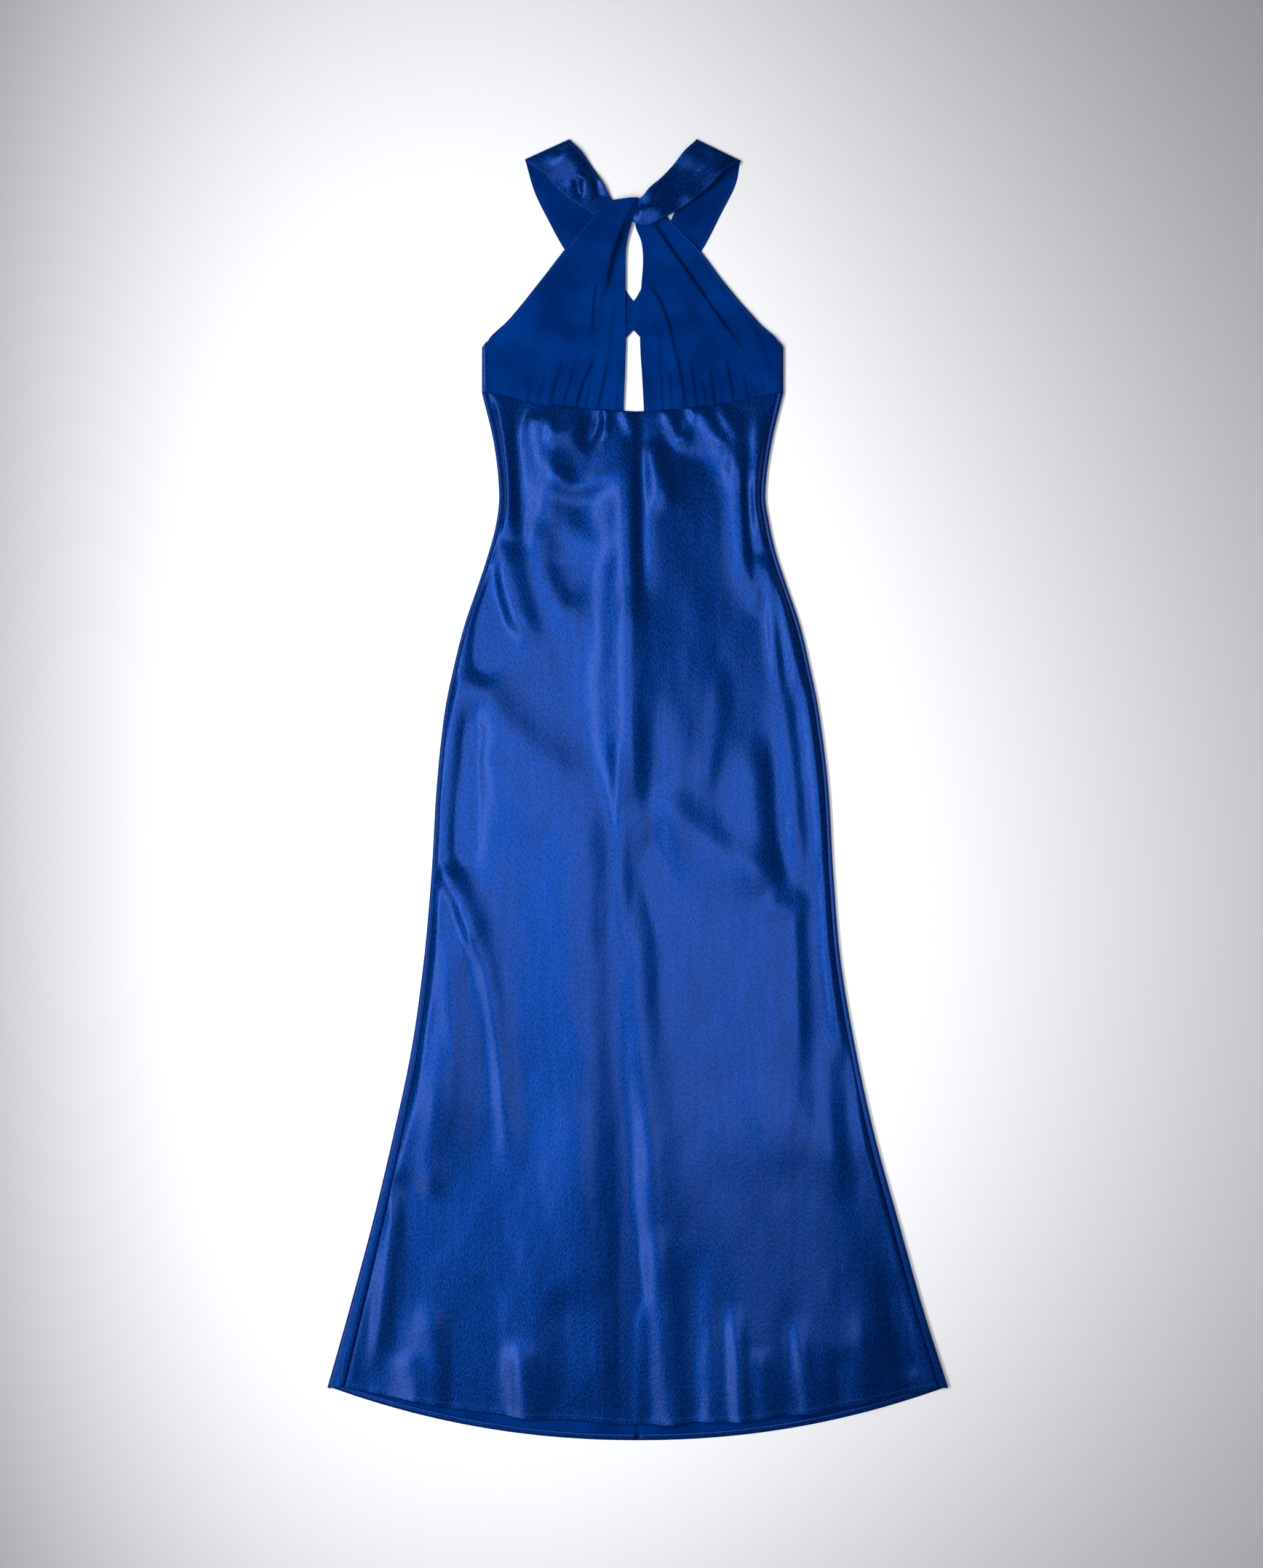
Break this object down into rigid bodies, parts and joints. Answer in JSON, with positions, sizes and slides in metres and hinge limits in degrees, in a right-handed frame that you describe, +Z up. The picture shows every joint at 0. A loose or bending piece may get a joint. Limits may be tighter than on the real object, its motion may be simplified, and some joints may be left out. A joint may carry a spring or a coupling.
{
  "type": "halter dress",
  "caption": "Long halter dress in satin-backed crepe, laid flat: gathered bodice with twisted front and keyhole, crossed back straps, flared full-length skirt.",
  "frame": {"origin": "on the surface that the dress lies on, on the dress's centreline, half-way between the shoulder folds and the back hem", "axes": "+Y from hem to neck, +Z up from the surface through the front, +X to the right as seen from above with the neck away from the viewer"},
  "size_m": [0.7156, 1.5013, 0.0136],
  "materials": {
    "satin": "blue satin face, soft sheen, fine diagonal grain",
    "crepe": "blue crepe face of the same cloth, matte"
  },
  "bodies": {
    "root": {"skirt_front": "satin", "skirt_back_left": "satin", "skirt_back_right": "satin", "bodice_front_left": "crepe", "bodice_front_right": "crepe", "strap_front_left": "satin", "strap_front_right": "satin", "strap_back_left": "crepe", "strap_back_right": "crepe"}
  },
  "joints": []
}
